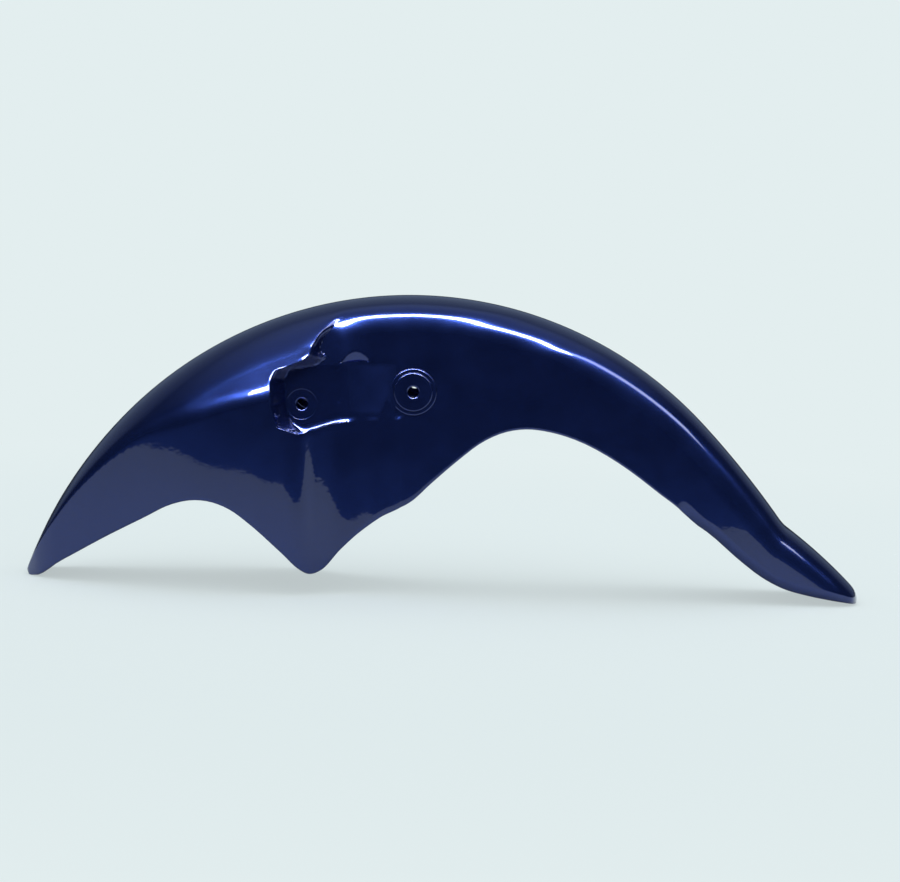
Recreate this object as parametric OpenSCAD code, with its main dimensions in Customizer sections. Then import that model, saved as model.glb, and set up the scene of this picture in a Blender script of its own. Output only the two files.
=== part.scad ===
// Front mudguard of a small road motorcycle, moulded in one piece.
// A thin shell wraps the front wheel. Its crown follows the tyre, its front part is a wide wing
// that ends in two ears, and behind each wing a recess takes the fork leg, with two bolt holes.
// Lengths are in millimetres. The shape is worked out about the wheel centre, with +X to the rear,
// +Y to the right and +Z up, and is then turned a little so that its nose and tail stand level.

/* [Shell] */
// Thickness of the moulded wall
wall = 2.6; // [2:0.1:3.2]
// Radius of the crown about the wheel centre
crown_r = 346; // [340:1:352]
// Half width of the wide dome, if no skirt cut it
dome_half = 88; // [85:1:91]
// Depth at which that dome would stand upright
dome_depth = 95; // [88:1:104]
// Fullness of the dome: 2 is an ellipse, more is flatter on top
dome_fullness = 2.6; // [2.3:0.05:3]
// Depth at which the dome goes over into a straight flank
flank_depth = 33; // [28:1:38]
// Slope of that flank, as width over depth
flank_slope = 0.65; // [0.5:0.01:0.8]
// Radius of the crease between the dome and the front skirt
crease_round = 5; // [3:0.5:10]

/* [Widths] */
// Half width of the wing at its crease, in front of the fork
wing_half = 90; // [87:0.5:93]
// How far the wing tucks in from its crease to the ears
wing_tuck = 5; // [2:0.5:7]
// Half width over the pad that lies along the fork leg
pad_half = 61; // [60:0.5:64]
// Half width at the top of the flat above the bolt pocket
upper_half = 53.5; // [52:0.5:55]
// Half width of the rear skirt just behind the fork
skirt_half = 56.5; // [54.5:0.5:57]
// Half width where the rear skirt reaches the tail flap
tail_half = 46; // [42:0.5:49]

/* [Crown line] */
// Length of crown from the top to where the nose starts to flatten
nose_start = 270; // [260:1:280]
// Length of the flatter crown at the nose
nose_len = 164; // [160:1:168]
// Turn of the crown along the nose, in degrees
nose_turn = 24.7; // [23:0.1:26]
// Length of crown from the top to where the tail starts to straighten
tail_start = 285; // [280:1:290]
// Length of the nearly straight tail
tail_len = 107; // [104:1:110]
// Turn of the crown along the tail, in degrees
tail_turn = 7.8; // [7:0.1:9]
// Length of the hollow bend where the tail kicks out
kick_len = 10; // [8:0.5:13]
// Turn of that bend, in degrees
kick_turn = 18; // [15:0.5:20]
// Length of the flap behind the bend
flap_len = 73; // [71:1:75]
// Turn of the crown along the flap, in degrees
flap_turn = 9.5; // [8:0.5:12]
// Length of the curl at the very end
curl_len = 17; // [14:0.5:19]
// Turn of that curl, in degrees
curl_turn = 45; // [40:1:50]

/* [Fork recess] */
// Distance from the wheel centre forward to the front bolt
front_bolt_x = 90; // [88:0.5:92]
// Height of the front bolt over the wheel centre
front_bolt_z = 256; // [254:0.5:258]
// Distance from the wheel centre back to the rear bolt
rear_bolt_x = 4; // [2:0.5:7]
// Height of the rear bolt over the wheel centre
rear_bolt_z = 266; // [263:0.5:269]
// Diameter of the four bolt holes
bolt_d = 9; // [7:0.5:11]
// Diameter of the round sink at the front bolt
sink_d = 26; // [22:0.5:28]
// Diameter of the raised boss at the rear bolt
boss_d = 40; // [36:1:44]
// Diameter of the step on that boss
boss_step_d = 33; // [28:1:35]
// Height of the four bolt seats over the rear skirt
boss_height = 2.5; // [1.5:0.1:3.5]
// Diameter of the collar behind each hole
collar_d = 24; // [20:0.5:27]
// Length of each bolt hole
bore_len = 8; // [6:0.5:10]
// Height of the top edge of the bolt pocket
pocket_top = 289; // [286:0.5:292]
// Height of the bottom edge of the bolt pocket
pocket_bottom = 240; // [238:0.5:243]
// Distance from the front bolt to the front edge of the pocket floor
pocket_reach = 11; // [10:0.5:14]
// Corner radius of the pocket floor
pocket_round = 16; // [12:0.5:22]
// Steepness of the pocket walls, as rise over run
wall_steep = 3; // [2:0.1:3.6]
// Half width of the half-round scoop over the pocket
scoop_r = 12; // [10:0.5:14]
// Depth of that scoop at its foot
scoop_depth = 2; // [1:0.1:2.5]

/* [Hidden] */
$fn = 64;

// Lower edge of each side as [x, z], from the nose over the front arch, round the ear,
// up the fork pad, over the rear arch and down past the notch to the tail
EDGE = [
    [-333, 107], [-326, 105.5], [-298, 120.5], [-260, 141.5], [-225, 159.5], [-200, 172],
    [-182, 176], [-165, 174.5], [-149, 168], [-132, 155.5], [-107, 133], [-92, 119],
    [-82, 114], [-73, 116.5], [-58, 132], [-41, 147.5], [-24, 159.5], [-7, 167.5],
    [2, 172.5], [18, 187], [43, 208.5], [60, 221.5], [77, 230], [98, 234], [120, 231.5],
    [145, 223.5], [179, 204.5], [213, 179], [233, 163], [240, 155.5], [256, 143.5],
    [282, 120.5], [300, 106.5], [317, 97], [343, 89], [369, 83.8], [389, 80]
];
// Half width of the nose and wing by x
WING = [
    [-334, 4], [-331, 15], [-325, 24], [-310, 38], [-290, 48], [-268, 56], [-240, 63],
    [-210, 71.5], [-182, wing_half - 11], [-150, wing_half - 5], [-123, wing_half - 1],
    [-104, wing_half], [100, wing_half]
];
// Half width of the rear skirt by x
SKIRT = [
    [-60, skirt_half], [150, skirt_half - 0.5], [200, skirt_half - 2], [250, skirt_half - 4.5],
    [300, tail_half + 3], [350, tail_half], [372, tail_half - 3], [384, tail_half - 10],
    [392, tail_half - 26]
];
// Half width along the fork channel by x: the wing, its wall, the pad, and the step to the skirt
pad_front = -46;
pad_back = -24;
CHANNEL = [
    [-130, wing_half + 16], [-104, wing_half + 4], [-94, wing_half - 1.5], [-78, pad_half + 15],
    [-56, pad_half + 2], [pad_front, pad_half], [pad_back, pad_half], [-20, pad_half - 1],
    [-9, skirt_half + 1.5], [-4, skirt_half + 0.3], [20, skirt_half]
];
// Front edge of the fork recess as [z, x], up the wing, round the pocket and up to the shoulder
RECESS_LINE = [
    [100, -92], [119, -92], [187, -94], [222, -97], [234, -102], [250, -111], [266, -114],
    [282, -111.5], [287, -107], [290, -99], [297, -84], [305, -79], [315, -73], [322, -66],
    [328, -58], [334, -52], [346, -48], [360, -48]
];
// Key sections of the loft: crown length from the top, x of the lower edge,
// and the three shares of its depth between which the columns of the mesh are spread
KEYS = [
    [-nose_start - nose_len, -329.5, 0.25, 0.5, 0.75],
    [-423, -320, 0.25, 0.5, 0.75],
    [-368, -262, 0.25, 0.5, 0.75],
    [-242, -190, 0.18, 0.4, 0.68],
    [-145, -136, 0.14, 0.27, 0.55],
    [-118, -116, 0.13, 0.2, 0.47],
    [-85, -84, 0.1, 0.21, 0.44],
    [-46, -46, 0.1, 0.255, 0.5],
    [-24, -24, 0.1, 0.29, 0.55],
    [-4, -4, 0.1, 0.31, 0.58],
    [34, 32, 0.13, 0.36, 0.66],
    [110, 88, 0.16, 0.4, 0.7],
    [181, 133, 0.2, 0.45, 0.72],
    [284, 203, 0.22, 0.47, 0.74],
    [334, 239, 0.22, 0.47, 0.74],
    [tail_start + tail_len + 6, 300, 0.22, 0.5, 0.76],
    [tail_start + tail_len + kick_len + 20, 328, 0.25, 0.5, 0.76],
    [tail_start + tail_len + kick_len + flap_len - 12, 366, 0.25, 0.5, 0.75],
    [tail_start + tail_len + kick_len + flap_len + curl_len - 1, 389, 0.25, 0.5, 0.75]
];
// Sections between one key and the next, and columns in each of the four bands from crown to edge
SECTIONS = [2, 3, 4, 3, 4, 8, 5, 1, 4, 5, 3, 2, 2, 2, 2, 2, 2, 2];
BANDS = [7, 4, 9, 6];

// Nose and tail crown lines as tangent arcs: [length, turn in degrees]
FRONT_ARCS = [[nose_start, deg(nose_start / crown_r)], [nose_len, nose_turn]];
REAR_ARCS = [
    [tail_start, deg(tail_start / crown_r)], [tail_len, tail_turn], [kick_len, -kick_turn],
    [flap_len, flap_turn], [curl_len, curl_turn]
];

function deg(radians) = radians * 180 / PI;
function clamp(v, lo, hi) = max(lo, min(hi, v));
function blend(a, b, t) = a + (b - a) * t;
function soft_step(lo, hi, v) = let(t = clamp((v - lo) / (hi - lo), 0, 1)) t * t * (3 - 2 * t);
// The smaller of two values, rounded over k where they meet
function soft_min(a, b, k) = let(h = max(k - abs(a - b), 0) / k) min(a, b) - h * h * k / 4;
// Value of a cubic that runs from a to b with the end slopes ma and mb
function cubic(a, b, ma, mb, t) =
    (2 * t ^ 3 - 3 * t ^ 2 + 1) * a + (t ^ 3 - 2 * t ^ 2 + t) * ma
    + (3 * t ^ 2 - 2 * t ^ 3) * b + (t ^ 3 - t ^ 2) * mb;

// Smooth curve through a table of [x, y] rows
function span(rows, x, i = 0) = i >= len(rows) - 2 || x < rows[i + 1][0] ? i : span(rows, x, i + 1);
function rise(rows, i) = (rows[i + 1][1] - rows[i][1]) / (rows[i + 1][0] - rows[i][0]);
function slope(rows, i) =
    i == 0 ? rise(rows, 0) :
    i == len(rows) - 1 ? rise(rows, i - 1) :
    let(before = rows[i][0] - rows[i - 1][0], after = rows[i + 1][0] - rows[i][0])
    (rise(rows, i - 1) * after + rise(rows, i) * before) / (before + after);
function along(rows, x) =
    let(
        i = span(rows, x),
        h = rows[i + 1][0] - rows[i][0],
        t = clamp((x - rows[i][0]) / h, 0, 1)
    )
    cubic(rows[i][1], rows[i + 1][1], h * slope(rows, i), h * slope(rows, i + 1), t);

// Value in one column of the key table at a fractional key number
function key_slope(c, i) =
    i == 0 ? KEYS[1][c] - KEYS[0][c] :
    i == len(KEYS) - 1 ? KEYS[i][c] - KEYS[i - 1][c] :
    (KEYS[i + 1][c] - KEYS[i - 1][c]) / 2;
function key(c, u) =
    let(i = min(floor(u), len(KEYS) - 2))
    cubic(KEYS[i][c], KEYS[i + 1][c], key_slope(c, i), key_slope(c, i + 1), u - i);

// Place and heading below the horizontal after a length s along tangent arcs from the top
function run_arcs(arcs, s, i = 0, x = 0, z = crown_r, heading = 0) =
    let(
        step = i == len(arcs) - 1 ? s : min(s, arcs[i][0]),
        bend = arcs[i][1] / arcs[i][0],
        r = deg(1) / bend,
        end = heading + bend * step,
        x2 = x + r * (sin(end) - sin(heading)),
        z2 = z + r * (cos(end) - cos(heading))
    )
    i == len(arcs) - 1 || s <= arcs[i][0] ? [x2, z2, end] :
    run_arcs(arcs, s - step, i + 1, x2, z2, end);
function crown(s) =
    s >= 0 ? run_arcs(REAR_ARCS, s) :
    let(p = run_arcs(FRONT_ARCS, -s)) [-p[0], p[1], -p[2]];

// Half width of the free dome at a depth under the crown
function dome(depth) =
    let(q = 1 - clamp(depth, 0, flank_depth) / dome_depth)
    dome_half * (1 - q ^ dome_fullness) ^ (1 / dome_fullness) + flank_slope * max(depth - flank_depth, 0);
// Distance outside a rounded rectangle
function outside_box(x, z, x0, x1, z0, z1, r) =
    let(
        qx = abs(x - (x0 + x1) / 2) - (x1 - x0) / 2 + r,
        qz = abs(z - (z0 + z1) / 2) - (z1 - z0) / 2 + r
    )
    norm([max(qx, 0), max(qz, 0)]) + min(max(qx, qz), 0) - r;

// The wing: the dome, cut by the front skirt, which tucks in towards its edge.
// Beside the upper part of the recess it curls in a little towards the recess.
tuck_top = 266;
tuck_run = 150;
tuck_nose = [-330, -250];
curl_in = 2.5;
curl_reach = 14;
curl_foot = [296, 306];
curl_head = [322, 334];
function wing(x, z, depth, line) =
    soft_min(
        dome(depth),
        along(WING, x) - wing_tuck * clamp((tuck_top - z) / tuck_run, 0, 1) * soft_step(tuck_nose[0], tuck_nose[1], x),
        crease_round)
    - curl_in * soft_step(curl_foot[0], curl_foot[1], z) * (1 - soft_step(curl_head[0], curl_head[1], z))
      * clamp(1 - (line - x) / curl_reach, 0, 1) ^ 2;
// The channel for the fork leg and the rear skirt, which meets the dome in a softening shoulder
shoulder_sharp = 7;
shoulder_soft = 14;
shoulder_tail = 24;
shoulder_start = [-42, -30];
shoulder_run = [60, 260];
function shoulder(x) =
    blend(shoulder_sharp, shoulder_soft, soft_step(shoulder_start[0], shoulder_start[1], x))
    + (shoulder_tail - shoulder_soft)
      * clamp((x - shoulder_run[0]) / (shoulder_run[1] - shoulder_run[0]), 0, 1);
skirt_front = -6;
recess_end = [-58, -34];
pad_head = [270, 300];
function behind_recess(x) = soft_step(recess_end[0], recess_end[1], x);
function side(x, z) =
    let(s = x > skirt_front ? min(along(CHANNEL, x), along(SKIRT, x)) : max(along(CHANNEL, x), skirt_half))
    blend(s, min(s, skirt_half), behind_recess(x) * soft_step(pad_head[0], pad_head[1], z));
// The flat above the bolt pocket, which leans in towards its top and ends at the skirt behind it
flat_top = 334;
flat_overlap = 1;
floor_lift = 1;
seat_half = skirt_half + boss_height;
function upper_flat(x, z, line, w) =
    let(
        rise = clamp((z - pocket_top) / (flat_top - pocket_top), 0, 1),
        flat = blend(seat_half + floor_lift, upper_half, rise),
        skew = (along(RECESS_LINE, z + 1) - along(RECESS_LINE, z - 1)) / 2,
        ahead = (line - x) / norm([1, skew]) + max(w - flat, 0) / wall_steep
    )
    blend(flat, skirt_half, behind_recess(x)) + wall_steep * max(ahead, pocket_top - flat_overlap - z, 0);
// The floor of the pocket around the front bolt, which runs out into the skirt at its rear and top
floor_end = [-20, -6];
floor_foot = 5;
function pocket_floor(x, z) =
    let(
        lean = clamp((z - pocket_bottom - floor_foot) / (pocket_top - pocket_bottom - floor_foot), 0, 1),
        near_pad = blend(pad_half, skirt_half, lean),
        near_skirt = blend(seat_half + floor_lift, near_pad, behind_recess(x))
    )
    blend(near_skirt, skirt_half, soft_step(floor_end[0], floor_end[1], x));
// Its walls, which start with a low ledge. The bottom edge drops towards the front.
pocket_rear = 80;
bottom_drop = 5;
bottom_run = [-50, 45];
ledge_slope = 0.45;
ledge_width = 3;
function pocket(x, z) =
    let(
        bottom = pocket_bottom - bottom_drop * clamp((bottom_run[0] - x) / bottom_run[1], 0, 1),
        out = outside_box(x, z, -front_bolt_x - pocket_reach, pocket_rear, bottom, pocket_top, pocket_round)
    )
    pocket_floor(x, z) + max(ledge_slope * max(out, 0), wall_steep * (out - ledge_width));
// Half-round scoop over the pocket, deepest along its straight foot
scoop_x = -44.5;
scoop_z = 291.5;
scoop_slope = 0.25;
function scoop(x, z) =
    z < scoop_z ? 0 :
    max(scoop_depth * (1 - ((x - scoop_x) / scoop_r) ^ 2) - scoop_slope * (z - scoop_z), 0);
// Inward roll of the lower rim behind the notch in the rear edge
roll_depth = 5;
roll_height = 9;
roll_start = [232, 242];
function rim_roll(x, above) =
    roll_depth * soft_step(roll_start[0], roll_start[1], x) * clamp(1 - above / roll_height, 0, 1) ^ 2;

// Rounding of the recess edges: it dies out where the recess runs out into the skirt,
// and is left off along the top of the pocket
sharp = 0.05;
lip_front = 7;
lip_end = [-38, -28];
pocket_lip = 1.5;
pocket_lip_end = [-62, -48];
crisp = [284, 288, 294, 300];
function upper_lip(x, z) =
    let(top = soft_step(crisp[0], crisp[1], z) * (1 - soft_step(crisp[2], crisp[3], z)))
    blend(lip_front, sharp, max(soft_step(lip_end[0], lip_end[1], x), top));
function half_width(x, z, depth, above) =
    let(
        line = along(RECESS_LINE, z),
        w = wing(x, z, depth, line),
        body = soft_min(w, side(x, z), shoulder(x)),
        flat_cut = soft_min(body, upper_flat(x, z, line, w), upper_lip(x, z)),
        lip = blend(pocket_lip, sharp, soft_step(pocket_lip_end[0], pocket_lip_end[1], x))
    )
    soft_min(flat_cut, pocket(x, z), lip) - scoop(x, z) - rim_roll(x, above);

// A straight section of the loft: crown point, heading there, and foot on the lower edge
function section(u) = let(foot = key(1, u)) [each crown(key(0, u)), foot, along(EDGE, foot)];
function band_share(u, j) =
    let(
        shares = [0, key(2, u), key(3, u), key(4, u), 1],
        b = min(floor(j), 3),
        t = b == 0 ? j ^ crown_spread : j - b
    )
    blend(shares[b], shares[b + 1], t);
crown_spread = 2.2;
// Point of the outer skin in a section, at a share of the way from its crown to its foot
function skin_point(sec, v) =
    let(
        drop = [sec[3] - sec[0], sec[4] - sec[1]],
        inward = -(drop[0] * sin(sec[2]) + drop[1] * cos(sec[2])),
        x = sec[0] + v * drop[0],
        z = sec[1] + v * drop[1]
    )
    [x, v == 0 ? 0 : half_width(x, z, v * inward, (1 - v) * norm(drop)), z];
// Near the fork recess the sections bend, so that one of them follows the edge of the recess
recess_x = -98;
bend_front = 55;
bend_rear = 92;
bend_fade = 0.8;
FEET = [for (n = [3 : 11]) [KEYS[n][1], n]];
function bent_point(sec, u, j) =
    let(
        v = band_share(u, j),
        height = blend(sec[1], sec[4], v),
        near = sec[3] - recess_x,
        reach = clamp(near < 0 ? -near / bend_front : near / bend_rear, 0, 1),
        fade = j < bend_fade ? soft_step(0, bend_fade, j) : 1,
        shift = (along(RECESS_LINE, height) - recess_x) * (1 - reach ^ 2) ^ 2 * fade
    )
    shift == 0 ? skin_point(sec, v) :
    let(bent = section(u + along(FEET, sec[3] + shift) - along(FEET, sec[3])))
    skin_point(bent, v == 1 ? 1 : (bent[1] - height) / (bent[1] - bent[4]));
function half_section(u) = let(sec = section(u)) [for (j = COLUMNS) bent_point(sec, u, j)];
STATIONS = [for (i = [0 : len(SECTIONS) - 1], j = [0 : SECTIONS[i] - 1]) i + j / SECTIONS[i], len(SECTIONS)];
COLUMNS = [for (i = [0 : len(BANDS) - 1], j = [0 : BANDS[i] - 1]) i + j / BANDS[i], len(BANDS)];

// The whole outer skin, from the left edge over the crown to the right edge
OUTER = [for (u = STATIONS) let(half = half_section(u), m = len(half) - 1)
    [for (k = [-m : m]) [half[abs(k)][0], sign(k) * half[abs(k)][1], half[abs(k)][2]]]];
rows = len(OUTER);
cols = len(OUTER[0]);
function skin_normal(i, k) =
    let(
        a = OUTER[min(i + 1, rows - 1)][k] - OUTER[max(i - 1, 0)][k],
        b = OUTER[i][min(k + 1, cols - 1)] - OUTER[i][max(k - 1, 0)],
        n = cross(a, b)
    )
    n / norm(n);
INNER = [for (i = [0 : rows - 1]) [for (k = [0 : cols - 1]) OUTER[i][k] - wall * skin_normal(i, k)]];

// The part stands level on its nose and tail, with its box centred over the origin
function lowest(grid, lo, hi) =
    let(points = [for (row = grid) for (p = row) if (p[0] > lo && p[0] < hi) p], z = min([for (p = points) p[2]]))
    [for (p = points) if (p[2] == z) p][0];
nose_foot = lowest(OUTER, -2 * crown_r, WING[4][0]);
tail_foot = lowest(OUTER, -WING[4][0], 2 * crown_r);
lean = atan2(nose_foot[2] - tail_foot[2], tail_foot[0] - nose_foot[0]);
function leaned(p) = [p[0] * cos(lean) - p[2] * sin(lean), p[1], p[0] * sin(lean) + p[2] * cos(lean)];
SET_POINTS = [for (grid = [OUTER, INNER]) for (row = grid) for (p = row) leaned(p)];
mid_x = (min([for (p = SET_POINTS) p[0]]) + max([for (p = SET_POINTS) p[0]])) / 2;
ground_z = min([for (p = SET_POINTS) p[2]]);

module on_ground() {
    translate([-mid_x, 0, -ground_z]) rotate([0, -lean, 0]) children();
}

// Two triangles between four corners, with the diagonal mirrored on the other side
function quad(a, b, c, d, flip) = flip ? [[a, b, d], [b, c, d]] : [[a, b, c], [a, c, d]];
module skin() {
    total = rows * cols;
    outer_faces = [for (i = [0 : rows - 2], k = [0 : cols - 2])
        each quad(i * cols + k, i * cols + k + 1, (i + 1) * cols + k + 1, (i + 1) * cols + k, k < cols / 2 - 1)];
    inner_faces = [for (f = outer_faces) [f[0] + total, f[2] + total, f[1] + total]];
    side_rims = [for (i = [0 : rows - 2], k = [0, cols - 1])
        let(a = i * cols + k, b = a + cols)
        each k == 0 ? [[a, b, b + total], [a, b + total, a + total]] : [[b, a, a + total], [b, a + total, b + total]]];
    end_rims = [for (k = [0 : cols - 2], i = [0, rows - 1])
        let(a = i * cols + k, b = a + 1)
        each i == 0 ? [[b, a, a + total], [b, a + total, b + total]] : [[a, b, b + total], [a, b + total, a + total]]];
    polyhedron(
        points = [for (grid = [OUTER, INNER]) for (row = grid) for (p = row) p],
        faces = concat(outer_faces, inner_faces, side_rims, end_rims));
}

// A round solid along Y from one half width to another, on both sides of the part
module on_both_sides(x, z, from, to, d) {
    for (s = [-1, 1])
        translate([x, s * from, z]) rotate([-90 * s, 0, 0]) cylinder(d = d, h = to - from);
}

module mudguard() {
    collar_in = seat_half - bore_len;
    proud = 30;
    color("midnightblue")
    on_ground()
    difference() {
        union() {
            skin();
            on_both_sides(rear_bolt_x, rear_bolt_z, skirt_half - wall / 2, skirt_half + boss_height / 2, boss_d);
            on_both_sides(rear_bolt_x, rear_bolt_z, skirt_half - wall / 2, seat_half, boss_step_d);
            on_both_sides(rear_bolt_x, rear_bolt_z, collar_in, seat_half, collar_d);
            on_both_sides(-front_bolt_x, front_bolt_z, collar_in, seat_half + floor_lift / 2, collar_d);
        }
        on_both_sides(-front_bolt_x, front_bolt_z, seat_half, seat_half + proud, sink_d);
        on_both_sides(-front_bolt_x, front_bolt_z, collar_in - 1, seat_half + 1, bolt_d);
        on_both_sides(rear_bolt_x, rear_bolt_z, collar_in - 1, seat_half + 1, bolt_d);
    }
}

mudguard();
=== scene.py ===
"""Front mudguard of a small road motorcycle, in deep blue metallic paint.

The shell repeats the formulas of the part's source on a finer grid. They work in millimetres
about the wheel centre, with +X to the rear and +Z up, and to_frame() turns them into the frame.
"""
import math

import bmesh
import bpy
import numpy as np
from mathutils import Matrix, Vector


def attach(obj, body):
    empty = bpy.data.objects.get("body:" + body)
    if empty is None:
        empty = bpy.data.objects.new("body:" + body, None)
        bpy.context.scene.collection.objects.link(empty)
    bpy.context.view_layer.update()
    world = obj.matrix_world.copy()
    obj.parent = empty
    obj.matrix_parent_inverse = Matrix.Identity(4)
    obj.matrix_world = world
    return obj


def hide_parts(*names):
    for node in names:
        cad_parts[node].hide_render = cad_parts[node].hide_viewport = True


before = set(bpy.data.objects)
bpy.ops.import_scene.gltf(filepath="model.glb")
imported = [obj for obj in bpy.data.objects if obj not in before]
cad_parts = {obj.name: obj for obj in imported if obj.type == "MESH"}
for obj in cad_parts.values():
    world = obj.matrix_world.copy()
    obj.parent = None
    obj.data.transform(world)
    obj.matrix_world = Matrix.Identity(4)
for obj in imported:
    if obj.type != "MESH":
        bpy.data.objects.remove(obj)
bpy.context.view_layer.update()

# Shell: wall, crown circle and the cross-section of the dome below it
WALL = 2.6
CROWN_R = 346.0
DOME_HALF = 88.0
DOME_DEPTH = 95.0
DOME_FULLNESS = 2.6
FLANK_DEPTH = 33.0
FLANK_SLOPE = 0.65
CREASE_ROUND = 5.0
# Half widths of the wing, the pad, the flat above the pocket, the bolt seats, the skirt and the tail
WING_HALF = 90.0
# The wing is tucked in by WING_TUCK below TUCK_TOP, which takes TUCK_DEPTH, and not at the nose
WING_TUCK = 5.0
TUCK_TOP, TUCK_DEPTH = 266, 150
TUCK_X = (-330, -250)
PAD_HALF = 61.0
UPPER_HALF = 56.5
SEAT_HALF = 59.0
SKIRT_HALF = 56.5
TAIL_HALF = 46.0
# Crown line: lengths along it and turning angles in degrees, from the top to each end
NOSE_START, NOSE_LEN, NOSE_TURN = 270.0, 164.0, 24.7
TAIL_START, TAIL_LEN, TAIL_TURN = 285.0, 107.0, 7.8
KICK_LEN, KICK_TURN = 10.0, 18.0
FLAP_LEN, FLAP_TURN = 73.0, 9.5
CURL_LEN, CURL_TURN = 17.0, 45.0
# Bolts, with the sink, boss and collar round them
FRONT_BOLT = (-90.0, 256.0)
REAR_BOLT = (4.0, 266.0)
BOLT_D = 9.0
SINK_D = 26.0
BOSS_D = 40.0
BOSS_STEP_D = 33.0
COLLAR_D = 24.0
BORE_LEN = 8.0
BOSS_LIP, FLARE_LIP = 1.2, 1.5
COLLAR_BEVEL = 0.6
REAR_COLLAR_COVER, FRONT_COLLAR_COVER = 1.0, 0.5
SINK_STEP, SINK_REACH = 0.2, 30.0
CUTTER_OVERRUN = 2.0

# Pairs below that end in _X or _Z are ranges along x or z over which one form turns into the next.
# Fork recess: floor of the pocket, flat above it, pad and skirt behind it
POCKET_TOP, POCKET_BOTTOM = 289.0, 243.5
FLOOR_LIFT = 1.0
FLAT_TOP = 334.0
LEAN_START = 5
PAD_X = (-58, -34)
SKIRT_X = (-20, -6)
# Wall of the recess, which gets less steep where it dies out in the crown
WALL_STEEP, TOP_STEEP = 3.0, 1.0
STEEP_Z = (308, 330)
WALL_ROUND = 4
# Rounding of the recess edge, from the pocket up; CRISP leaves a sharp edge
LOW_LIP, POCKET_LIP, CRISP = 1.5, 7, 0.05
LIP_Z = (245, 262)
CRISP_X, CRISP_Z = (-60, -50), (284, 288)
UPPER_Z = (292, 304)
# Rolled lip under the bottom edge of the pocket and the ledge inside it
BOTTOM_LIP = 1.8
LIP_DEPTH, JUST_UNDER = 5, 0.01
LEDGE_SLOPE, LEDGE_WIDTH = 0.45, 3.0
# Half-round scoop over the pocket
SCOOP_R = 12.0
SCOOP_DEPTH = 2.6
SCOOP_SLOPE = 0.3
SCOOP_X, SCOOP_Z = -44.5, 291.5
# The wing curls in a little in front of the upper part of the recess edge
CURL_DROP = 2.5
CURL_REACH = 14.0
CURL_LOW_Z, CURL_HIGH_Z = (296, 306), (322, 334)
# Rounding of the shoulder between the crown and the side; it grows towards the tail
SHOULDER_FRONT, SHOULDER_REAR, SHOULDER_GROWTH = 7.0, 14.0, 10
SHOULDER_X = (-66, -54)
GROWTH_START, GROWTH_LEN = 60, 200
# Rolled lower edge of the skirt
ROLL_IN, ROLL_HEIGHT = 5, 9
ROLL_X = (232, 242)

# Lower edge in side view, as (x, z)
EDGE = [
    (-333, 107), (-326, 105.5), (-298, 120.5), (-260, 141.5), (-225, 159.5), (-200, 172),
    (-182, 176), (-165, 174.5), (-149, 168), (-132, 155.5), (-107, 133), (-92, 119),
    (-82, 114), (-73, 116.5), (-58, 132), (-41, 147.5), (-24, 159.5), (-7, 167.5),
    (2, 172.5), (18, 187), (43, 208.5), (60, 221.5), (77, 230), (98, 234), (120, 231.5),
    (145, 223.5), (179, 204.5), (213, 179), (233, 163), (240, 155.5), (256, 143.5),
    (282, 120.5), (300, 106.5), (317, 97), (343, 89), (369, 83.8), (389, 80),
]
# Half widths as (x, half width): wing, skirt and the fork channel between them
WING = [
    (-334, 4), (-331, 15), (-325, 24), (-310, 38), (-290, 48), (-268, 56), (-240, 63),
    (-210, 71.5), (-182, WING_HALF - 11), (-150, WING_HALF - 5), (-123, WING_HALF - 1),
    (-104, WING_HALF), (100, WING_HALF),
]
SKIRT = [
    (-60, SKIRT_HALF), (150, SKIRT_HALF - 0.5), (200, SKIRT_HALF - 2), (250, SKIRT_HALF - 4.5),
    (300, TAIL_HALF + 3), (350, TAIL_HALF), (372, TAIL_HALF - 3), (384, TAIL_HALF - 10),
    (392, TAIL_HALF - 26),
]
CHANNEL = [
    (-130, WING_HALF + 16), (-104, WING_HALF + 4), (-94, WING_HALF - 1.5), (-78, PAD_HALF + 15),
    (-56, PAD_HALF + 2), (-46, PAD_HALF), (-24, PAD_HALF), (-20, PAD_HALF - 1),
    (-9, SKIRT_HALF + 1.5), (-4, SKIRT_HALF + 0.3), (20, SKIRT_HALF),
]
# Key sections from nose to tail: length along the crown from its top, x of the foot on the lower
# edge, and three shares of the way down, between which the four bands of columns lie
KEYS = [
    (-NOSE_START - NOSE_LEN, -329.5, 0.25, 0.5, 0.75),
    (-423, -320, 0.25, 0.5, 0.75),
    (-368, -262, 0.25, 0.5, 0.75),
    (-242, -190, 0.18, 0.4, 0.68),
    (-145, -136, 0.14, 0.27, 0.55),
    (-118, -116, 0.13, 0.2, 0.47),
    (-85, -84, 0.1, 0.21, 0.44),
    (-46, -46, 0.1, 0.255, 0.5),
    (-24, -24, 0.1, 0.29, 0.55),
    (-4, -4, 0.1, 0.31, 0.58),
    (34, 32, 0.13, 0.36, 0.66),
    (110, 88, 0.16, 0.4, 0.7),
    (181, 133, 0.2, 0.45, 0.72),
    (284, 203, 0.22, 0.47, 0.74),
    (334, 239, 0.22, 0.47, 0.74),
    (TAIL_START + TAIL_LEN + 6, 300, 0.22, 0.5, 0.76),
    (TAIL_START + TAIL_LEN + KICK_LEN + 20, 328, 0.25, 0.5, 0.76),
    (TAIL_START + TAIL_LEN + KICK_LEN + FLAP_LEN - 12, 366, 0.25, 0.5, 0.75),
    (TAIL_START + TAIL_LEN + KICK_LEN + FLAP_LEN + CURL_LEN - 1, 389, 0.25, 0.5, 0.75),
]
# Steps of the solid's grid in each unit between key sections and in each band
SECTIONS = [2, 3, 4, 3, 4, 8, 5, 1, 4, 5, 3, 2, 2, 2, 2, 2, 2, 2]
BANDS = [7, 4, 9, 6]
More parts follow.
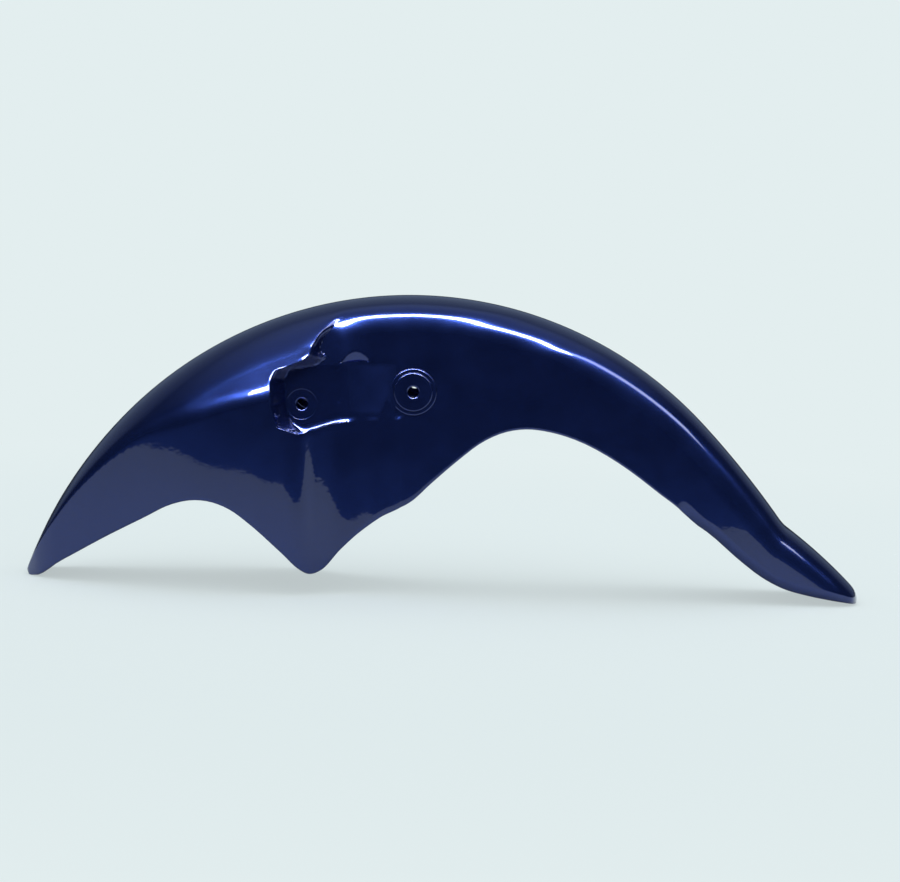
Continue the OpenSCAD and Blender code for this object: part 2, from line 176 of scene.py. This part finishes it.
# Front edge of the fork recess as (z, x); the sections of the grid bend to follow it
RECESS_LINE = [
    (100, -92), (119, -92), (187, -94), (222, -97), (230, -101.5), (237, -107.5), (250, -112.5),
    (266, -114), (282, -111.5), (287, -107), (290, -99), (297, -84), (305, -79), (315, -73),
    (322, -66), (328, -58), (334, -52), (346, -48), (360, -48),
]
# Bottom edge of the bolt pocket as (x, z), which the third band follows between two ranges of x
BOTTOM = [
    (-140, 238), (-112, 239), (-98, 237.5), (-90, 233.5), (-76, 236), (-59, 240.5), (-46, 241.3),
    (-24, 241.3), (10, 244),
]
BOTTOM_START_X, BOTTOM_END_X = (-140, -118), (-10, 20)
# The section that lies on the recess edge, how far in front and behind the others bend, and the share
# of the first band over which the bend fades in; STATION_KEYS are the key sections it can reach
GUIDE_STATION = 5.5
BEND_FRONT, BEND_REAR, BEND_FADE = 55.0, 92.0, 0.8
STATION_KEYS = range(3, 12)
SEARCH_STEPS, SMALL_STEP = 4, 0.01
# Columns crowd towards the crown line in the first band
CROWN_CROWDING = 2.2
# Steps of the fine grid, counted in the same way. In the last band they crowd towards its top, and
# single columns lie close below the scoop foot and the pocket bottom, so that both edges are crisp
FINE_SECTIONS = [4, 8, 14, 12, 18, 36, 36, 14, 18, 18, 10, 8, 8, 8, 8, 8, 8, 8]
FINE_BANDS = [24, 16, 32, 18]
FOOT_COLUMN, FOOT_CROWDING = 3, 1.6
SCOOP_COLUMN = 2 + 0.15 / FINE_BANDS[2]
EDGE_COLUMNS = [3.003, 3.007]

FRONT_ARCS = [(NOSE_START, math.degrees(NOSE_START / CROWN_R)), (NOSE_LEN, NOSE_TURN)]
REAR_ARCS = [
    (TAIL_START, math.degrees(TAIL_START / CROWN_R)), (TAIL_LEN, TAIL_TURN),
    (KICK_LEN, -KICK_TURN), (FLAP_LEN, FLAP_TURN), (CURL_LEN, CURL_TURN),
]


def soft_step(lo, hi, v):
    """0 below lo, 1 above hi, and a smooth rise between them."""
    t = np.clip((v - lo) / (hi - lo), 0, 1)
    return t * t * (3 - 2 * t)


def soft_min(a, b, k):
    """Smaller of a and b, rounded where they are less than k apart."""
    h = np.maximum(k - np.abs(a - b), 0) / k
    return np.minimum(a, b) - h * h * k / 4


def blend(a, b, t):
    return a + (b - a) * t


def cubic(a, b, ma, mb, t):
    return ((2 * t**3 - 3 * t**2 + 1) * a + (t**3 - 2 * t**2 + t) * ma
            + (3 * t**2 - 2 * t**3) * b + (t**3 - t**2) * mb)


def along(rows, x):
    """Smooth curve through a table of (x, y) rows."""
    xs, ys = np.array(rows, float).T
    x = np.asarray(x, float)
    i = np.clip(np.searchsorted(xs, x, side="right") - 1, 0, len(xs) - 2)
    h = np.diff(xs)
    rise = np.diff(ys) / h
    slope = np.concatenate([
        rise[:1], (rise[:-1] * h[1:] + rise[1:] * h[:-1]) / (h[:-1] + h[1:]), rise[-1:]])
    t = np.clip((x - xs[i]) / h[i], 0, 1)
    return cubic(ys[i], ys[i + 1], h[i] * slope[i], h[i] * slope[i + 1], t)


def key(c, u):
    """Value in one column of the key table at a fractional key number."""
    v = np.array(KEYS, float)[:, c]
    i = np.clip(np.floor(u).astype(int), 0, len(v) - 2)
    slope = np.concatenate([[v[1] - v[0]], (v[2:] - v[:-2]) / 2, [v[-1] - v[-2]]])
    return cubic(v[i], v[i + 1], slope[i], slope[i + 1], u - i)


def run_arcs(arcs, s):
    """Place and heading below the horizontal after a length s along tangent arcs."""
    x = np.zeros_like(s)
    z = np.full_like(s, CROWN_R)
    heading = np.zeros_like(s)
    left = s.copy()
    for n, (length, turn) in enumerate(arcs):
        bend = math.radians(turn) / length
        step = np.maximum(left if n == len(arcs) - 1 else np.minimum(left, length), 0)
        end = heading + bend * step
        x = x + (np.sin(end) - np.sin(heading)) / bend
        z = z + (np.cos(end) - np.cos(heading)) / bend
        heading = end
        left = left - length
    return x, z, heading


def crown(s):
    """Place and heading on the crown line at a length s behind its top."""
    rear = run_arcs(REAR_ARCS, np.maximum(s, 0))
    front = run_arcs(FRONT_ARCS, np.maximum(-s, 0))
    ahead = s < 0
    return (np.where(ahead, -front[0], rear[0]), np.where(ahead, front[1], rear[1]),
            np.where(ahead, -front[2], rear[2]))


def dome(depth):
    """Half width of the crown at a depth below its top."""
    q = 1 - np.clip(depth, 0, FLANK_DEPTH) / DOME_DEPTH
    round_part = DOME_HALF * (1 - q**DOME_FULLNESS) ** (1 / DOME_FULLNESS)
    return round_part + FLANK_SLOPE * np.maximum(depth - FLANK_DEPTH, 0)


def half_width(x, z, depth, above, under):
    """Half width of the outer skin at a place in side view.

    depth is measured from the crown, above from the lower edge of the shell, and under from the
    bottom edge of the pocket downwards.
    """
    line = along(RECESS_LINE, z)
    tuck = WING_TUCK * np.clip((TUCK_TOP - z) / TUCK_DEPTH, 0, 1) * soft_step(*TUCK_X, x)
    flank = along(WING, x) - tuck
    wing = soft_min(dome(depth), flank, np.minimum(CREASE_ROUND, flank))
    beside = soft_step(*CURL_LOW_Z, z) * (1 - soft_step(*CURL_HIGH_Z, z))
    wing = wing - CURL_DROP * beside * np.clip(1 - (line - x) / CURL_REACH, 0, 1) ** 2

    channel = along(CHANNEL, x)
    side = np.where(x > SKIRT_X[1], np.minimum(channel, along(SKIRT, x)), np.maximum(channel, SKIRT_HALF))
    shoulder = blend(SHOULDER_FRONT, SHOULDER_REAR, soft_step(*SHOULDER_X, x))
    shoulder = shoulder + SHOULDER_GROWTH * np.clip((x - GROWTH_START) / GROWTH_LEN, 0, 1)
    shoulder = np.minimum(shoulder, side)
    body = soft_min(wing, side, shoulder)

    rise = np.clip((z - POCKET_TOP) / (FLAT_TOP - POCKET_TOP), 0, 1)
    lean_z = POCKET_BOTTOM + LEAN_START
    lean = np.clip((z - lean_z) / (POCKET_TOP - lean_z), 0, 1)
    flat = blend(SEAT_HALF + FLOOR_LIFT, UPPER_HALF, rise)
    floor = blend(flat, blend(PAD_HALF, SKIRT_HALF, lean), soft_step(*PAD_X, x))
    floor = blend(floor, SKIRT_HALF, soft_step(*SKIRT_X, x))
    steep = blend(WALL_STEEP, TOP_STEEP, soft_step(*STEEP_Z, z))
    skew = (along(RECESS_LINE, z + 1) - along(RECESS_LINE, z - 1)) / 2
    ahead = (line - x) / np.hypot(1, skew) + np.maximum(wing - floor, 0) / steep
    ledge = LEDGE_SLOPE * np.maximum(along(BOTTOM, x) + LEDGE_WIDTH - z, 0)
    recess = floor + np.maximum(steep * np.maximum(ahead, 0), ledge)

    lip = blend(LOW_LIP, POCKET_LIP, soft_step(*LIP_Z, z))
    lip = blend(lip, CRISP, np.maximum(soft_step(*CRISP_X, x), soft_step(*CRISP_Z, z)))
    into = BOTTOM_LIP - np.clip(under, 0, BOTTOM_LIP)
    drop = BOTTOM_LIP - np.sqrt(BOTTOM_LIP**2 - into**2)
    foot = body - drop * np.clip((body - recess) / LIP_DEPTH, 0, 1)
    lower = np.where(under > JUST_UNDER, foot, soft_min(body, recess, lip))
    inner = soft_min(side, recess, np.clip(side - floor, CRISP, WALL_ROUND))
    cut = blend(lower, soft_min(wing, inner, shoulder), soft_step(*UPPER_Z, z))
    return cut - ROLL_IN * soft_step(*ROLL_X, x) * np.clip(1 - above / ROLL_HEIGHT, 0, 1) ** 2


def station_of(x):
    """Fractional number of the key section whose foot is at x, near the recess."""
    return along([(KEYS[n][1], n) for n in STATION_KEYS], x)


def outer_grid(us, js):
    """Half of the outer skin: sections us by columns js, in the wheel's coordinates."""
    u = np.repeat(us[:, None], len(js), 1)
    j = np.repeat(js[None, :], len(us), 0)
    band = np.clip(np.floor(j).astype(int), 0, 3)
    t = np.where(band == 0, j**CROWN_CROWDING, j - band)

    def section(u):
        x, z, heading = crown(key(0, u))
        foot = key(1, u)
        return x, z, heading, foot, along(EDGE, foot)

    x, z, heading, foot, foot_z = section(u)
    to_bottom = (z - along(BOTTOM, foot)) / (z - foot_z)
    near_pocket = soft_step(*BOTTOM_START_X, foot) * (1 - soft_step(*BOTTOM_END_X, foot))
    low_share = blend(key(4, u), to_bottom, near_pocket)
    shares = [0 * u, key(2, u), key(3, u), low_share, 0 * u + 1]
    share = blend(np.choose(band, shares[:4]), np.choose(band, shares[1:]), t)
    height = blend(z, foot_z, share)
    under = blend(z, foot_z, low_share) - height
    plain_x = blend(x, foot, share)
    guide = section(np.array(GUIDE_STATION))
    guide_x = guide[0] + (guide[3] - guide[0]) * (guide[1] - height) / (guide[1] - guide[4])
    near = plain_x - guide_x
    reach = np.clip(np.where(near < 0, -near / BEND_FRONT, near / BEND_REAR), 0, 1)
    shift = (along(RECESS_LINE, height) - guide_x) * (1 - reach**2) ** 2
    shift = shift * np.where(band == 0, soft_step(0, BEND_FADE, j), 1)
    bent = np.abs(shift) > 0
    u = u + station_of(foot + shift) - station_of(foot)
    for _ in range(SEARCH_STEPS):
        x, z, heading, foot, foot_z = section(u)
        share = np.where(bent, (z - height) / (z - foot_z), share)
        miss = plain_x + shift - blend(x, foot, share)
        pace = (key(1, u + SMALL_STEP) - key(1, u - SMALL_STEP)) / (2 * SMALL_STEP)
        u = u + np.where(bent, miss / pace, 0)
    x, z, heading, foot, foot_z = section(u)
    share = np.where(bent, (z - height) / (z - foot_z), share)
    share[:, -1] = 1
    dx, dz = foot - x, foot_z - z
    inward = -(dx * np.sin(heading) + dz * np.cos(heading))
    gx, gz = x + share * dx, z + share * dz
    gy = half_width(gx, gz, share * inward, (1 - share) * np.hypot(dx, dz), under)
    scoop = SCOOP_DEPTH * (1 - ((gx - SCOOP_X) / SCOOP_R) ** 2) - SCOOP_SLOPE * (gz - SCOOP_Z)
    gy = gy - np.where(j <= 2, np.maximum(scoop, 0), 0)
    gy[:, 0] = 0
    return np.stack([gx, gy, gz], -1)


def spread(steps):
    """Fractional numbers of the grid lines: steps[i] of them in unit i."""
    lines = [i + np.arange(n) / n for i, n in enumerate(steps)]
    return np.append(np.concatenate(lines), len(steps))


def whole(half):
    """Mirror half a grid to the other side, so that it runs from the left edge to the right."""
    left = half[:, :0:-1] * (1, -1, 1)
    return np.concatenate([left, half], 1)


def unit(v):
    return v / np.linalg.norm(v, axis=-1, keepdims=True)


def normals(grid):
    a = np.gradient(grid, axis=0)
    b = np.gradient(grid, axis=1)
    return unit(np.cross(a, b))


coarse = whole(outer_grid(spread(SECTIONS), spread(BANDS)))
coarse_inner = coarse - WALL * normals(coarse)
# The shell is leaned so that it stands on its nose and its tail
END_X = 290
nose_foot = min((p for p in coarse.reshape(-1, 3) if p[0] < -END_X), key=lambda p: p[2])
tail_foot = min((p for p in coarse.reshape(-1, 3) if p[0] > END_X), key=lambda p: p[2])
LEAN = math.atan2(nose_foot[2] - tail_foot[2], tail_foot[0] - nose_foot[0])


def leaned(p):
    p = np.asarray(p, float)
    x = p[..., 0] * math.cos(LEAN) - p[..., 2] * math.sin(LEAN)
    z = p[..., 0] * math.sin(LEAN) + p[..., 2] * math.cos(LEAN)
    return np.stack([x, p[..., 1], z], -1)


stood = leaned(np.concatenate([coarse, coarse_inner]))
MIDDLE = np.array([(stood[..., 0].min() + stood[..., 0].max()) / 2, 0, stood[..., 2].min()])


def to_frame(p):
    """From millimetres about the wheel centre to metres in the frame."""
    return (leaned(p) - MIDDLE) / 1000


def add_object(name, verts, faces, slots=None):
    mesh = bpy.data.meshes.new(name)
    mesh.from_pydata([tuple(v) for v in verts], [], [tuple(int(n) for n in f) for f in faces])
    if slots is not None:
        mesh.polygons.foreach_set("material_index", np.asarray(slots, np.int32))
    mesh.update()
    obj = bpy.data.objects.new(name, mesh)
    bpy.context.scene.collection.objects.link(obj)
    return obj


PAINT, INSIDE = 0, 1
RIM_STEPS = 4
SHARP_ANGLE, NORMAL_WEIGHT = 38, 80


def make_shell():
    """Outer skin, lining one wall inside it, and a round rim that joins them.

    The last section of the tail is left out, because it has no width.
    """
    columns = spread(FINE_BANDS)
    crowded = FOOT_COLUMN + np.clip(columns - FOOT_COLUMN, 0, 1) ** FOOT_CROWDING
    columns = np.where(columns > FOOT_COLUMN, crowded, columns)
    columns = np.sort(np.concatenate([columns, [SCOOP_COLUMN], EDGE_COLUMNS]))
    outer = whole(outer_grid(spread(FINE_SECTIONS)[:-1], columns))
    rows, cols = outer.shape[:2]
    n = normals(outer)
    out = np.zeros_like(outer)
    out[:, 0] += unit(outer[:, 0] - outer[:, 1])
    out[:, -1] += unit(outer[:, -1] - outer[:, -2])
    out[0] += unit(outer[0] - outer[1])
    out[-1] += unit(outer[-1] - outer[-2])
    ring = [(0, k) for k in range(cols)] + [(i, cols - 1) for i in range(1, rows)]
    ring += [(rows - 1, k) for k in range(cols - 2, -1, -1)] + [(i, 0) for i in range(rows - 2, 0, -1)]
    r = WALL / 2
    for i, k in ring:
        out[i, k] = unit(out[i, k])
    edge_centre = {p: outer[p] - n[p] * r - out[p] * r for p in ring}
    skin = outer.copy()
    lining = outer - WALL * n
    for p in ring:
        skin[p] = edge_centre[p] + r * n[p]
        lining[p] = edge_centre[p] - r * n[p]
    verts = [*skin.reshape(-1, 3), *lining.reshape(-1, 3)]
    total = rows * cols
    i, k = np.meshgrid(np.arange(rows - 1), np.arange(cols - 1), indexing="ij")
    a = (i * cols + k).ravel()
    quads = np.stack([a, a + 1, a + cols + 1, a + cols], 1)
    faces = [*quads, *(quads[:, ::-1] + total)]
    slots = [PAINT] * len(quads) + [INSIDE] * len(quads)
    loops = [[i * cols + k for i, k in ring]]
    for step in range(1, RIM_STEPS):
        angle = math.pi * step / RIM_STEPS
        loops.append(list(range(len(verts), len(verts) + len(ring))))
        for p in ring:
            verts.append(edge_centre[p] + r * (n[p] * math.cos(angle) + out[p] * math.sin(angle)))
    loops.append([total + i * cols + k for i, k in ring])
    for upper, lower in zip(loops, loops[1:]):
        for m in range(len(ring)):
            m2 = (m + 1) % len(ring)
            faces.append((upper[m2], upper[m], lower[m], lower[m2]))
            slots.append(PAINT)
    # No part of the rim of the tail reaches below the floor
    placed = to_frame(verts)
    placed[:, 2] = np.maximum(placed[:, 2], 0)
    return add_object("mudguard_shell", placed, faces, slots)


ROUND_STEPS = 96


def turned(name, bolt, profile, slot):
    """A closed solid of revolution along Y on each side: profile rows are (half width, radius)."""
    verts, faces = [], []
    for side in (-1, 1):
        first = len(verts)
        for y, r in profile:
            for a in range(ROUND_STEPS):
                angle = 2 * math.pi * a / ROUND_STEPS
                verts.append((bolt[0] + r * math.cos(angle), side * y, bolt[1] + r * math.sin(angle)))
        for ring in range(len(profile) - 1):
            for a in range(ROUND_STEPS):
                b = (a + 1) % ROUND_STEPS
                lo, hi = first + ring * ROUND_STEPS, first + (ring + 1) * ROUND_STEPS
                quad = (lo + a, lo + b, hi + b, hi + a)
                faces.append(quad if side < 0 else quad[::-1])
        start = list(range(first, first + ROUND_STEPS))
        end = list(range(first + (len(profile) - 1) * ROUND_STEPS, first + len(profile) * ROUND_STEPS))
        faces.append(start[::-1] if side < 0 else start)
        faces.append(end if side < 0 else end[::-1])
    obj = add_object(name, to_frame(verts), faces, [slot] * len(faces))
    bm = bmesh.new()
    bm.from_mesh(obj.data)
    bmesh.ops.recalc_face_normals(bm, faces=bm.faces)
    bm.to_mesh(obj.data)
    bm.free()
    return obj


def rounded(y0, y1, r, lip, steps=4):
    """Profile of a disc from y0 out to y1 whose outer edge is rounded by lip."""
    rows = [(y0, r)]
    for s in range(steps + 1):
        angle = math.pi / 2 * s / steps
        rows.append((y1 - lip + lip * math.sin(angle), r - lip + lip * math.cos(angle)))
    return rows


def flared(y0, y1, r, lip, steps=4):
    """Profile of a cutter from y0 past y1 that rounds the edge it leaves at half width y1."""
    rows = [(y0, r)]
    for s in range(steps + 1):
        angle = math.pi / 2 * s / steps
        rows.append((y1 - lip + lip * math.sin(angle), r + lip - lip * math.cos(angle)))
    rows.append((y1 + CUTTER_OVERRUN, r + lip))
    return rows


def apply_boolean(obj, other, operation):
    mod = obj.modifiers.new(operation.lower(), "BOOLEAN")
    mod.operation = operation
    mod.solver = "EXACT"
    mod.object = other
    bpy.context.view_layer.update()
    dg = bpy.context.evaluated_depsgraph_get()
    mesh = bpy.data.meshes.new_from_object(obj.evaluated_get(dg))
    obj.modifiers.clear()
    old = obj.data
    obj.data = mesh
    mesh.name = obj.name
    bpy.data.meshes.remove(old)
    cutter = other.data
    bpy.data.objects.remove(other)
    bpy.data.meshes.remove(cutter)


collar_in = SEAT_HALF - BORE_LEN
boss_mid = (SKIRT_HALF + SEAT_HALF) / 2


def collar(cover):
    """Profile of the collar inside a bolt hole, which ends by cover below the seat."""
    r = COLLAR_D / 2
    return [(collar_in, r - COLLAR_BEVEL), (collar_in + COLLAR_BEVEL, r), (SEAT_HALF - cover, r)]


shell = make_shell()
boss = rounded(SKIRT_HALF - WALL / 2, boss_mid, BOSS_D / 2, BOSS_LIP)
boss += rounded(boss_mid, SEAT_HALF, BOSS_STEP_D / 2, BOSS_LIP)
sink = [(SEAT_HALF, SINK_D / 2 - COLLAR_BEVEL), (SEAT_HALF + SINK_STEP, SINK_D / 2),
        (SEAT_HALF + SINK_REACH, SINK_D / 2)]
bore = flared(collar_in - 1, SEAT_HALF, BOLT_D / 2, FLARE_LIP)
apply_boolean(shell, turned("boss", REAR_BOLT, boss, PAINT), "UNION")
apply_boolean(shell, turned("collar_rear", REAR_BOLT, collar(REAR_COLLAR_COVER), INSIDE), "UNION")
apply_boolean(shell, turned("collar_front", FRONT_BOLT, collar(FRONT_COLLAR_COVER), INSIDE), "UNION")
apply_boolean(shell, turned("sink", FRONT_BOLT, sink, PAINT), "DIFFERENCE")
for bolt in (FRONT_BOLT, REAR_BOLT):
    apply_boolean(shell, turned("bore", bolt, bore, PAINT), "DIFFERENCE")
shell.data.shade_smooth()
shell.data.set_sharp_from_angle(angle=math.radians(SHARP_ANGLE))
even = shell.modifiers.new("even_normals", "WEIGHTED_NORMAL")
even.keep_sharp = True
even.weight = NORMAL_WEIGHT


def material(name):
    mat = bpy.data.materials.new(name)
    mat.use_nodes = True
    nodes, links = mat.node_tree.nodes, mat.node_tree.links
    nodes.clear()
    out = nodes.new("ShaderNodeOutputMaterial")
    return mat, nodes, links, out


def noise(nodes, links, coords, scale, detail):
    node = nodes.new("ShaderNodeTexNoise")
    node.inputs["Scale"].default_value = scale
    node.inputs["Detail"].default_value = detail
    links.new(coords, node.inputs["Vector"])
    return node.outputs["Fac"]


def map_range(nodes, links, value, lo, hi, to_lo, to_hi, smooth=False):
    node = nodes.new("ShaderNodeMapRange")
    if smooth:
        node.interpolation_type = "SMOOTHSTEP"
    for socket, number in zip(("From Min", "From Max", "To Min", "To Max"), (lo, hi, to_lo, to_hi)):
        node.inputs[socket].default_value = number
    links.new(value, node.inputs["Value"])
    return node.outputs["Result"]


def mix_colours(nodes, links, share, first, second):
    node = nodes.new("ShaderNodeMix")
    node.data_type = "RGBA"
    node.inputs[6].default_value = first
    node.inputs[7].default_value = second
    links.new(share, node.inputs[0])
    return node.outputs[2]


def mix_shaders(nodes, links, share, first, second):
    node = nodes.new("ShaderNodeMixShader")
    links.new(share, node.inputs["Fac"])
    links.new(first, node.inputs[1])
    links.new(second, node.inputs[2])
    return node.outputs["Shader"]


def bump(nodes, links, height, strength, distance):
    node = nodes.new("ShaderNodeBump")
    node.inputs["Strength"].default_value = strength
    node.inputs["Distance"].default_value = distance
    links.new(height, node.inputs["Height"])
    return node.outputs["Normal"]


def plain(nodes, kind, colour):
    """A shader of one colour: its node, whose first output is the shader."""
    node = nodes.new(kind)
    node.inputs["Color"].default_value = colour
    return node


def maths(nodes, links, operation, *values):
    node = nodes.new("ShaderNodeMath")
    node.operation = operation
    for value, socket in zip(values, node.inputs):
        links.new(value, socket)
    return node.outputs["Value"]


# Paint: a dark blue base with fine flakes, under a clear coat with a trace of orange peel
BLUE_DEEP, BLUE_BRIGHT = (0.004, 0.012, 0.085, 1), (0.007, 0.024, 0.15, 1)
FLAKE_SCALE, CLOUD_SCALE, PEEL_SCALE = 1600, 35, 260


def paint_material():
    mat, nodes, links, out = material("blue_metallic_paint")
    coords = nodes.new("ShaderNodeTexCoord").outputs["Object"]
    shader = nodes.new("ShaderNodeBsdfPrincipled")
    shader.inputs["Metallic"].default_value = 0.85
    shader.inputs["Coat Weight"].default_value = 1.0
    shader.inputs["Coat Roughness"].default_value = 0.025
    shader.inputs["Coat IOR"].default_value = 1.5
    flakes = nodes.new("ShaderNodeTexVoronoi")
    flakes.inputs["Scale"].default_value = FLAKE_SCALE
    links.new(coords, flakes.inputs["Vector"])
    spread_out = map_range(nodes, links, flakes.outputs["Distance"], 0.1, 0.7, 0, 1)
    tint = mix_colours(nodes, links, spread_out, BLUE_DEEP, BLUE_BRIGHT)
    links.new(tint, shader.inputs["Base Color"])
    cloud = noise(nodes, links, coords, CLOUD_SCALE, 3)
    links.new(map_range(nodes, links, cloud, 0.3, 0.7, 0.22, 0.27), shader.inputs["Roughness"])
    sparkle = bump(nodes, links, flakes.outputs["Distance"], 0.08, 0.0001)
    links.new(sparkle, shader.inputs["Normal"])
    peel = bump(nodes, links, noise(nodes, links, coords, PEEL_SCALE, 1), 0.03, 0.0005)
    links.new(peel, shader.inputs["Coat Normal"])
    links.new(shader.outputs["BSDF"], out.inputs["Surface"])
    return mat


# Lining: unpainted dark plastic with a fine grain
PLASTIC_DARK, PLASTIC_PALE = (0.012, 0.013, 0.018, 1), (0.022, 0.023, 0.03, 1)
GRAIN_SCALE, STAIN_SCALE = 900, 25


def inside_material():
    mat, nodes, links, out = material("dark_moulded_plastic")
    coords = nodes.new("ShaderNodeTexCoord").outputs["Object"]
    shader = nodes.new("ShaderNodeBsdfPrincipled")
    shader.inputs["Specular IOR Level"].default_value = 0.4
    grain = noise(nodes, links, coords, GRAIN_SCALE, 3)
    stain = noise(nodes, links, coords, STAIN_SCALE, 4)
    tint = mix_colours(nodes, links, stain, PLASTIC_DARK, PLASTIC_PALE)
    links.new(tint, shader.inputs["Base Color"])
    links.new(map_range(nodes, links, grain, 0.3, 0.7, 0.5, 0.68), shader.inputs["Roughness"])
    links.new(bump(nodes, links, grain, 0.15, 0.0002), shader.inputs["Normal"])
    links.new(shader.outputs["BSDF"], out.inputs["Surface"])
    return mat


shell.data.materials.clear()
shell.data.materials.append(paint_material())
shell.data.materials.append(inside_material())
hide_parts("mudguard")
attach(shell, "root")

# Plain pale floor: mint all round, with the object's shadow near it. In the gloss it is a lit sheet that ends
# SHEET_END in front of and behind the object; beyond it the floor is painted dark, a painted shade for an
# unlit room
MINT = (0.768, 0.855, 0.863, 1)
# Colour of the painted shade on the floor beyond the sheet, which stands in for an unlit room in reflections
PAINTED_ROOM_SHADE = (0.03, 0.032, 0.035, 1)
SHADOW_NEAR, SHADOW_FAR, LEAST_PLAIN = 0.5, 1.3, 0.6
SHEET_END, SHEET_FADE = 0.6, 0.63
FLOOR_HALF = 30.0


def floor_material():
    mat, nodes, links, out = material("pale_floor")
    coords = nodes.new("ShaderNodeTexCoord").outputs["Object"]
    path = nodes.new("ShaderNodeLightPath")
    lit = plain(nodes, "ShaderNodeBsdfDiffuse", MINT).outputs[0]
    even_mint = plain(nodes, "ShaderNodeEmission", MINT).outputs[0]
    # Painted shade: the floor beyond the sheet is dark in reflections and bounced light, in place of an unlit
    # room
    dark = plain(nodes, "ShaderNodeBsdfDiffuse", PAINTED_ROOM_SHADE).outputs[0]
    far = nodes.new("ShaderNodeVectorMath")
    far.operation = "LENGTH"
    links.new(coords, far.inputs[0])
    fade = map_range(nodes, links, far.outputs["Value"], SHADOW_NEAR, SHADOW_FAR, LEAST_PLAIN, 1, True)
    seen = mix_shaders(nodes, links, fade, lit, even_mint)
    axes = nodes.new("ShaderNodeSeparateXYZ")
    links.new(coords, axes.inputs["Vector"])
    away = maths(nodes, links, "ABSOLUTE", axes.outputs["Y"])
    beyond = map_range(nodes, links, away, SHEET_END, SHEET_FADE, 0, 1, True)
    sheet = mix_shaders(nodes, links, beyond, lit, dark)
    pick = mix_shaders(nodes, links, path.outputs["Is Camera Ray"], sheet, seen)
    links.new(pick, out.inputs["Surface"])
    return mat


corners = [(-FLOOR_HALF, -FLOOR_HALF, 0), (FLOOR_HALF, -FLOOR_HALF, 0),
           (FLOOR_HALF, FLOOR_HALF, 0), (-FLOOR_HALF, FLOOR_HALF, 0)]
floor = add_object("floor", corners, [(0, 1, 2, 3)])
floor.data.materials.append(floor_material())

# World: mint behind everything, an even soft light, and in the gloss a dark room with a blue-white
# ceiling and a dimmer wall behind the object
SKY_WHITE, GLOSS_BLUE = (0.95, 0.98, 1, 1), (0.5, 0.66, 1, 1)
SOFT_STRENGTH = 0.78
ROOM_LEVEL, CEILING_LEVEL, WALL_LEVEL = 0.06, 0.62, 0.2


def make_world():
    world = bpy.data.worlds.new("studio")
    bpy.context.scene.world = world
    world.use_nodes = True
    nodes, links = world.node_tree.nodes, world.node_tree.links
    nodes.clear()
    out = nodes.new("ShaderNodeOutputWorld")
    path = nodes.new("ShaderNodeLightPath")
    axes = nodes.new("ShaderNodeSeparateXYZ")
    links.new(nodes.new("ShaderNodeTexCoord").outputs["Generated"], axes.inputs["Vector"])
    seen = plain(nodes, "ShaderNodeBackground", MINT)
    soft = plain(nodes, "ShaderNodeBackground", SKY_WHITE)
    soft.inputs["Strength"].default_value = SOFT_STRENGTH
    mirrored = plain(nodes, "ShaderNodeBackground", GLOSS_BLUE)
    ceiling = map_range(nodes, links, axes.outputs["Z"], 0.6, 0.97, ROOM_LEVEL, CEILING_LEVEL, True)
    wall_y = map_range(nodes, links, axes.outputs["Y"], 0.05, 0.5, 0, WALL_LEVEL, True)
    wall_z = map_range(nodes, links, axes.outputs["Z"], 0.0, 0.15, 0, 1, True)
    wall = maths(nodes, links, "MULTIPLY", wall_y, wall_z)
    links.new(maths(nodes, links, "MAXIMUM", ceiling, wall), mirrored.inputs["Strength"])
    by_gloss = mix_shaders(nodes, links, path.outputs["Is Glossy Ray"], soft.outputs[0], mirrored.outputs[0])
    direct = maths(nodes, links, "MAXIMUM", path.outputs["Is Camera Ray"], path.outputs["Is Transmission Ray"])
    links.new(mix_shaders(nodes, links, direct, by_gloss, seen.outputs[0]), out.inputs["Surface"])


make_world()


def area_light(name, place, target, size, power):
    """A rectangular lamp at place that shines towards target."""
    lamp = bpy.data.lights.new(name, "AREA")
    lamp.shape = "RECTANGLE"
    lamp.size, lamp.size_y = size
    lamp.energy = power
    obj = bpy.data.objects.new(name, lamp)
    bpy.context.scene.collection.objects.link(obj)
    obj.location = place
    obj.rotation_euler = (Vector(target) - Vector(place)).to_track_quat("-Z", "Y").to_euler()
    return obj


# The strips only show as reflections, and the top lamp only lights
strip = area_light("strip", (-0.25, -1.35, 1.4), (-0.25, 0, 0.2), (1.9, 0.4), 120)
strip.visible_diffuse = False
side_strip = area_light("side_strip", (1.4, -1.35, 1.4), (1.4, 0, 0.2), (1.4, 0.4), 12)
side_strip.visible_diffuse = False
top = area_light("top", (0.2, 0.3, 1.9), (0, 0, 0.2), (2.2, 1.4), 10)
top.visible_glossy = False

# Camera of the photograph, given about the wheel centre and level there
CAMERA_TARGET = (35.03, 0, 219.5)
CAMERA_PLACE = (35.03, -2191.6, 411.2)
camera_data = bpy.data.cameras.new("camera")
camera_data.sensor_width = 36
camera_data.lens = 101.4
camera = bpy.data.objects.new("camera", camera_data)
bpy.context.scene.collection.objects.link(camera)
place = Vector(to_frame(CAMERA_PLACE))
look = (Vector(to_frame(CAMERA_TARGET)) - place).normalized()
up_point = np.array(CAMERA_TARGET) + (0, 0, 100)
up = Vector(to_frame(up_point) - to_frame(CAMERA_TARGET)).normalized()
right = look.cross(up).normalized()
up = right.cross(look)
camera.matrix_world = Matrix((
    (right.x, up.x, -look.x, place.x),
    (right.y, up.y, -look.y, place.y),
    (right.z, up.z, -look.z, place.z),
    (0, 0, 0, 1)))
bpy.context.scene.camera = camera
bpy.context.scene.view_settings.view_transform = "Standard"
